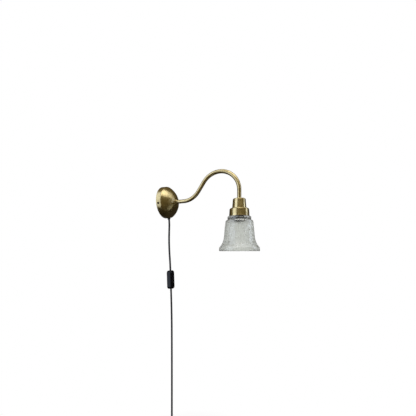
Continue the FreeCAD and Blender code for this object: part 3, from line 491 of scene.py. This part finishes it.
class WALLLAMP_OT_strap(bpy.types.Operator):
    """Make the woven strap that ties the coil"""

    bl_idname = "wall_lamp.strap"
    bl_label = "Coil strap"

    def execute(self, context):
        low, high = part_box("coil_tie")
        middle = (low + high) / 2
        reach_x = (high.x - low.x) / 2 - STRAP_INSET
        reach_y = (high.y - low.y) / 2 - STRAP_INSET
        mesh = bmesh.new()
        made = bmesh.ops.create_circle(mesh, segments=4, radius=1.0, cap_ends=False)
        corners = [(-1, -1), (1, -1), (1, 1), (-1, 1)]
        for vertex, (x, y) in zip(made["verts"], corners):
            vertex.co = (middle.x + x * reach_x, middle.y + y * reach_y, low.z)
        bmesh.ops.bevel(mesh, geom=mesh.verts[:], affect="VERTICES", offset=STRAP_CORNER,
                        segments=5, profile=0.5, material=-1)
        grown = bmesh.ops.extrude_edge_only(mesh, edges=mesh.edges[:])
        moved = [item for item in grown["geom"] if isinstance(item, bmesh.types.BMVert)]
        bmesh.ops.translate(mesh, verts=moved, vec=(0, 0, high.z - low.z))
        bmesh.ops.recalc_face_normals(mesh, faces=mesh.faces[:])
        strap = new_piece("coil_strap", mesh)
        thick = strap.modifiers.new("Tape thickness", "SOLIDIFY")
        thick.thickness = STRAP_THICKNESS
        thick.offset = 0
        edge = strap.modifiers.new("Soft edges", "BEVEL")
        edge.width = STRAP_EDGE
        edge.segments = 2
        strap.data.materials.append(woven_tape())
        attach(strap, "lamp")
        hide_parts("coil_tie")
        return {"FINISHED"}


# ---- brass and small metal parts ----------------------------------------------------------------

PLATE_BAND_DEPTH = 16 * MM


class WALLLAMP_OT_brass(bpy.types.Operator):
    """Give the plate, the swan neck, its collar and the cups their antique brass"""

    bl_idname = "wall_lamp.brass"
    bl_label = "Antique brass"

    def execute(self, context):
        colours = settings()[1]
        # The plate's band is drawn darker than the dome, as painted shade
        plate = antique_brass("Antique brass, spun plate", colours, (0, 0, 0), (0, 1, 0),
                              PLATE_BAND_DEPTH)
        cups = antique_brass("Antique brass, spun cups", colours, (0, SHADE_AXIS_Y, 0), (0, 0, 1))
        paint(plate, "canopy", "arm_collar")
        paint(cups, "upper_cup", "lower_cup")
        paint(antique_brass("Antique brass, drawn tube", colours), "arm_tube")
        return {"FINISHED"}


class WALLLAMP_OT_hardware(bpy.types.Operator):
    """Give screws, nuts, nipples and the wall disc their metals"""

    bl_idname = "wall_lamp.hardware"
    bl_label = "Hardware"

    def execute(self, context):
        paint(blackened_steel(), "canopy_screws")
        paint(zinc_steel(), "wall_disc", "arm_nut", "arm_washer", "cord_clamp_screws",
              "terminal_screws", "switch_screws")
        paint(bright_brass(), "arm_base_nipple", "arm_end_nipple", "screw_shell", "centre_contact",
              "holder_terminals", "switch_seesaw", "switch_terminals", "plug_pins")
        return {"FINISHED"}


# ---- glass --------------------------------------------------------------------------------------

# The bell's wall from the neck's hole over the outside to the rim and back inside, as (radius,
# height) in millimetres from the lampholder's axis and the middle of the wall plate
GLASS_OUTSIDE = [
    (15.2, -58.2), (24.0, -58.2), (32.2, -58.2), (33.2, -58.6), (33.6, -59.6), (33.6, -62.0),
    (33.6, -65.4), (33.4, -66.4), (33.1, -67.2), (33.2, -67.8), (33.8, -68.2), (34.8, -68.6),
    (37.2, -69.2), (38.6, -70.2), (39.4, -72.0), (40.1, -77.0), (40.9, -84.0), (41.6, -92.0),
    (42.3, -100.0), (42.9, -108.0), (43.5, -115.0), (44.4, -121.0), (45.9, -127.0),
    (48.0, -132.6), (50.8, -138.0), (54.0, -142.6), (56.6, -145.8), (57.6, -147.6), (57.9, -149.6),
    (57.9, -154.6), (57.5, -156.1), (56.4, -156.8)]
GLASS_INSIDE = [
    (54.6, -156.8), (54.0, -153.0), (53.4, -148.6), (51.6, -144.6), (48.8, -140.4),
    (46.0, -135.4), (43.8, -130.0), (42.2, -124.0), (41.2, -118.0), (40.3, -110.0),
    (39.6, -102.0), (38.8, -94.0), (38.0, -86.0), (37.1, -78.0), (36.6, -74.4), (35.8, -72.8),
    (34.4, -71.6), (31.6, -70.6), (29.6, -69.6), (29.4, -68.0), (29.4, -63.6), (28.8, -62.2),
    (27.4, -61.6), (15.2, -61.6)]
RIB_TOP = -73.0
RIB_FOOT = -148.0
RIB_FADE = 7.0               # height over which a rib rises or runs out
STEPS_PER_RIB = 6
NEAR_WALL = 0.3              # a point this near to the inside's outline belongs to the inside


def rib_share(height):
    """How much of its depth a rib has at a height: it rises from the shoulder and runs out
    above the rim."""
    rise = min(1.0, max(0.0, (RIB_TOP - height) / RIB_FADE))
    run_out = min(1.0, max(0.0, (height - RIB_FOOT) / RIB_FADE))
    return rise * run_out


def press_ribs(mesh, rib_count, rib_depth):
    """Move the inside wall of the spun bell inwards in waves."""
    inner_radius = {round(height, 1): radius for radius, height in GLASS_INSIDE}
    for vertex in mesh.verts:
        reach = math.hypot(vertex.co.x, vertex.co.y)
        height = vertex.co.z / MM
        wall = inner_radius.get(round(height, 1))
        if wall is None or abs(reach / MM - wall) > NEAR_WALL:
            continue
        angle = math.atan2(vertex.co.y, vertex.co.x)
        wave = 0.5 + 0.5 * math.cos(rib_count * angle)
        closer = 1 - rib_depth * rib_share(height) * wave / reach
        vertex.co.x *= closer
        vertex.co.y *= closer


class WALLLAMP_OT_glass(bpy.types.Operator):
    """Spin the glass bell, press its ribs and give it its glass"""

    bl_idname = "wall_lamp.glass"
    bl_label = "Glass bell"

    def execute(self, context):
        sizes, colours = settings()
        mesh = bmesh.new()
        outline = [mesh.verts.new((radius * MM, 0, height * MM))
                   for radius, height in GLASS_OUTSIDE + GLASS_INSIDE]
        for index, vertex in enumerate(outline):
            mesh.edges.new((outline[index - 1], vertex))
        bmesh.ops.spin(mesh, geom=mesh.verts[:] + mesh.edges[:], cent=(0, 0, 0), axis=(0, 0, 1),
                       angle=2 * math.pi, steps=STEPS_PER_RIB * sizes.rib_count, use_merge=True)
        bmesh.ops.recalc_face_normals(mesh, faces=mesh.faces[:])
        press_ribs(mesh, sizes.rib_count, sizes.rib_depth)
        bmesh.ops.translate(mesh, verts=mesh.verts[:], vec=(0, SHADE_AXIS_Y, 0))
        for face in mesh.faces:
            face.smooth = True
        bell = new_piece("glass_bell", mesh)
        bell.data.materials.append(pressed_glass(colours, sizes.rib_count))
        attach(bell, "glass")
        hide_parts("glass_shade")
        return {"FINISHED"}


# ---- lampholder, switch, plug and wiring --------------------------------------------------------

class WALLLAMP_OT_lampholder(bpy.types.Operator):
    """Give the lampholder, its core, its ring and the parts behind the plate their materials"""

    bl_idname = "wall_lamp.lampholder"
    bl_label = "Lampholder and wiring"

    def execute(self, context):
        paint(moulded("Black moulded phenolic", linear("131314"), linear("232326"), 0.35),
              "holder_cap", "holder_skirt", "shade_ring")
        paint(glazed_steatite(), "holder_core")
        paint(moulded("Black rubber grommet", linear("111111"), linear("222222"), 0.6),
              "cord_grommet")
        paint(moulded("Milky nylon", linear("C9C8BE"), linear("DEDDD4"), 0.45),
              "cord_clamp", "terminal_block")
        paint(moulded("White lead sheath", linear("CFCFCB"), linear("E2E2DE"), 0.5), "arm_lead")
        paint(moulded("Blue wire sleeve", linear("24448A"), linear("2F55A4"), 0.4),
              "block_wires", "holder_wires")
        return {"FINISHED"}


class WALLLAMP_OT_switch(bpy.types.Operator):
    """Give the inline switch its glossy black housing and rocker"""

    bl_idname = "wall_lamp.switch"
    bl_label = "Inline switch"

    def execute(self, context):
        colours = settings()[1]
        housing = moulded("Black glossy ABS", (*colours.switch, 1), linear("0B0E16"), 0.24,
                          grain=0.8 * MM, depth=0.01 * MM, specular=0.22)
        rocker = moulded("Black ABS rocker", linear("0A0B10"), linear("12141A"), 0.2,
                         grain=0.8 * MM, depth=0.01 * MM)
        paint(housing, "switch_base", "switch_cover")
        paint(rocker, "switch_rocker")
        return {"FINISHED"}


class WALLLAMP_OT_plug(bpy.types.Operator):
    """Give the plug and its strain relief their moulded PVC"""

    bl_idname = "wall_lamp.plug"
    bl_label = "Plug"

    def execute(self, context):
        paint(moulded("Black moulded PVC plug", linear("17171A"), linear("26262A"), 0.4),
              "plug_relief", "plug_body")
        return {"FINISHED"}


# ---- stage --------------------------------------------------------------------------------------

# The photograph's camera: level, with the horizon below the middle of the picture
EYE = Vector((-646.7, -405.1, -156.5)) * MM
LOOK = Vector((0.93085, 0.36538, 0.0))
FOCAL_PIXELS = 230.22
PICTURE_SIDE = 416
HORIZON_ROW = 251.0

LAMP_MIDDLE = Vector((0, -0.15, -0.1))
# Each soft box has its place, its width and height, its watts and its colour
SOFT_BOXES = {
    "Left soft box": ((-0.94, 0.65, 0.25), (1.0, 2.3), 15.0, "DEE9FF"),
    "Top soft box": ((0.05, -0.95, 0.9), (1.3, 0.7), 2.1, "FFFFFF"),
    "Overhead soft box": ((-0.5, -0.45, 1.15), (1.2, 1.1), 9.0, "FFFFFF"),
    "Right strip": ((0.43, -1.47, 0.45), (0.4, 0.8), 2.9, "DEE9FF"),
}
FILL_STRENGTH = 0.22         # light that the white world gives, against the white that it shows

TENT_RADIUS = 3.0
FLOOR_REACH = 12.0
FLOOR_MIDDLE_Y = -0.1
SHADOW_START = 0.12          # how far from the middle the floor begins to run out to white
SHADOW_END = 0.40            # where it is all white
NEAR_WHITE = 0.55            # the share of white near the middle


def place_camera(scene):
    """The photograph's camera, its focal length and horizon given in the photograph's pixels."""
    data = bpy.data.cameras.new("Camera")
    data.sensor_width = 36.0
    data.lens = FOCAL_PIXELS * data.sensor_width / PICTURE_SIDE
    data.shift_y = (HORIZON_ROW - PICTURE_SIDE / 2) / PICTURE_SIDE
    data.clip_start = 0.05
    camera = bpy.data.objects.new("Camera", data)
    camera.location = EYE
    camera.rotation_euler = LOOK.to_track_quat("-Z", "Y").to_euler()
    scene.collection.objects.link(camera)
    scene.camera = camera


def place_soft_box(scene, name, place, size, watts, colour):
    """A soft box that faces the lamp."""
    data = bpy.data.lights.new(name, "AREA")
    data.shape = "RECTANGLE"
    data.size = size[0]
    data.size_y = size[1]
    data.energy = watts
    data.color = linear(colour)[:3]
    box = bpy.data.objects.new(name, data)
    box.location = place
    box.rotation_euler = (LAMP_MIDDLE - Vector(place)).to_track_quat("-Z", "Y").to_euler()
    scene.collection.objects.link(box)


def place_tent():
    """A dim tent round the set, seen only in reflections, where it gives metal its dark edges."""
    mesh = bmesh.new()
    bmesh.ops.create_icosphere(mesh, subdivisions=3, radius=TENT_RADIUS)
    bmesh.ops.reverse_faces(mesh, faces=mesh.faces[:])
    tent = new_piece("tent", mesh)
    material, tree, output = new_material("Dim studio cloth")
    place = add_node(tree, "ShaderNodeTexCoord").outputs["Object"]
    # Lighter above and on the camera's side, dark below and behind the lamp
    lit_side = Vector((-0.6 * LOOK.x, -0.6 * LOOK.y, 0.8))
    height = add_node(tree, "ShaderNodeVectorMath", {
        0: place, 1: lit_side}, operation="DOT_PRODUCT").outputs["Value"]
    share = add_node(tree, "ShaderNodeMapRange", {
        "Value": height, "From Min": -0.8 * TENT_RADIUS,
        "From Max": 0.8 * TENT_RADIUS}).outputs["Result"]
    colour = add_node(tree, "ShaderNodeValToRGB", {"Fac": share}, stops=[
        (0.0, linear("3C372E")), (0.15, linear("363125")), (0.38, linear("4C4431")),
        (0.7, linear("6C5F3E")), (1.0, linear("756843"))]).outputs["Color"]
    cloth = add_node(tree, "ShaderNodeEmission", {"Color": colour, "Strength": 1.0})
    tree.links.new(cloth.outputs["Emission"], output.inputs["Surface"])
    tent.data.materials.append(material)
    tent.visible_camera = False
    tent.visible_diffuse = False
    tent.visible_transmission = False
    tent.visible_shadow = False


def place_floor(height):
    """A pale floor that takes the lamp's shadow near it and runs out to plain white."""
    mesh = bmesh.new()
    bmesh.ops.create_grid(mesh, x_segments=1, y_segments=1, size=FLOOR_REACH)
    bmesh.ops.translate(mesh, verts=mesh.verts[:], vec=(0, 0, height))
    floor = new_piece("floor", mesh)
    material, tree, output = new_material("Pale studio floor")
    place = add_node(tree, "ShaderNodeTexCoord").outputs["Object"]
    away = add_node(tree, "ShaderNodeVectorMath", {
        0: place, 1: (0, FLOOR_MIDDLE_Y, height)}, operation="DISTANCE").outputs["Value"]
    run_out = add_node(tree, "ShaderNodeMapRange", {
        "Value": away, "From Min": SHADOW_START, "From Max": SHADOW_END,
        "To Min": NEAR_WHITE}).outputs["Result"]
    path = add_node(tree, "ShaderNodeLightPath").outputs
    seen = add_node(tree, "ShaderNodeMath", {
        0: path["Is Camera Ray"], 1: path["Is Transmission Ray"]},
        operation="MAXIMUM").outputs["Value"]
    white_share = add_node(tree, "ShaderNodeMath", {
        0: seen, 1: run_out}, operation="MULTIPLY").outputs["Value"]
    paper = add_node(tree, "ShaderNodeBsdfDiffuse", {"Color": linear("F3F3F3")}).outputs["BSDF"]
    white = add_node(tree, "ShaderNodeEmission", {"Color": linear("FFFFFF")}).outputs["Emission"]
    mixed = add_node(tree, "ShaderNodeMixShader", {"Fac": white_share, 1: paper, 2: white})
    tree.links.new(mixed.outputs["Shader"], output.inputs["Surface"])
    floor.data.materials.append(material)
    floor.visible_glossy = False


def make_world(scene):
    """White where it is seen, reflected or looked through to, and a dimmer fill elsewhere."""
    world = bpy.data.worlds.new("Studio")
    world.use_nodes = True
    tree = world.node_tree
    tree.nodes.clear()
    path = add_node(tree, "ShaderNodeLightPath").outputs
    seen = add_node(tree, "ShaderNodeMath", {
        0: path["Is Camera Ray"], 1: path["Is Glossy Ray"]},
        operation="MAXIMUM").outputs["Value"]
    seen = add_node(tree, "ShaderNodeMath", {
        0: seen, 1: path["Is Transmission Ray"]}, operation="MAXIMUM").outputs["Value"]
    fill = add_node(tree, "ShaderNodeBackground", {
        "Color": linear("FFFFFF"), "Strength": FILL_STRENGTH}).outputs["Background"]
    white = add_node(tree, "ShaderNodeBackground", {
        "Color": linear("FFFFFF"), "Strength": 1.0}).outputs["Background"]
    mixed = add_node(tree, "ShaderNodeMixShader", {"Fac": seen, 1: fill, 2: white})
    output = add_node(tree, "ShaderNodeOutputWorld")
    tree.links.new(mixed.outputs["Shader"], output.inputs["Surface"])
    scene.world = world


class WALLLAMP_OT_stage(bpy.types.Operator):
    """Set up the camera, the soft boxes, the tent, the floor and the white world"""

    bl_idname = "wall_lamp.stage"
    bl_label = "Stage"

    def execute(self, context):
        scene = context.scene
        sizes = settings()[0]
        place_camera(scene)
        make_world(scene)
        place_floor(CAD_BOX[0].z - sizes.floor_drop)
        place_tent()
        for name, soft_box in SOFT_BOXES.items():
            place_soft_box(scene, name, *soft_box)
        scene.view_settings.view_transform = "Standard"
        return {"FINISHED"}


# ---- add-on -------------------------------------------------------------------------------------

PIECES = (
    WALLLAMP_OT_strap, WALLLAMP_OT_cords, WALLLAMP_OT_brass, WALLLAMP_OT_hardware,
    WALLLAMP_OT_glass, WALLLAMP_OT_lampholder, WALLLAMP_OT_switch, WALLLAMP_OT_plug,
    WALLLAMP_OT_stage)


class WALLLAMP_PT_panel(bpy.types.Panel):
    """Sizes, colours and pieces of the wall lamp"""

    bl_idname = "WALLLAMP_PT_panel"
    bl_label = "Wall lamp"
    bl_space_type = "VIEW_3D"
    bl_region_type = "UI"
    bl_category = "Wall lamp"

    def draw(self, context):
        for group in settings():
            for name in group.__annotations__:
                self.layout.prop(group, name)
        for piece in PIECES:
            self.layout.operator(piece.bl_idname)


CLASSES = (WallLampSizes, WallLampColours, *PIECES, WALLLAMP_PT_panel)


def register():
    for item in CLASSES:
        bpy.utils.register_class(item)
    bpy.types.Scene.wall_lamp_sizes = PointerProperty(type=WallLampSizes)
    bpy.types.Scene.wall_lamp_colours = PointerProperty(type=WallLampColours)


def unregister():
    del bpy.types.Scene.wall_lamp_colours
    del bpy.types.Scene.wall_lamp_sizes
    for item in reversed(CLASSES):
        bpy.utils.unregister_class(item)


def main():
    register()
    for piece in PIECES:
        group, name = piece.bl_idname.split(".")
        getattr(getattr(bpy.ops, group), name)()


if __name__ == "__main__":
    main()
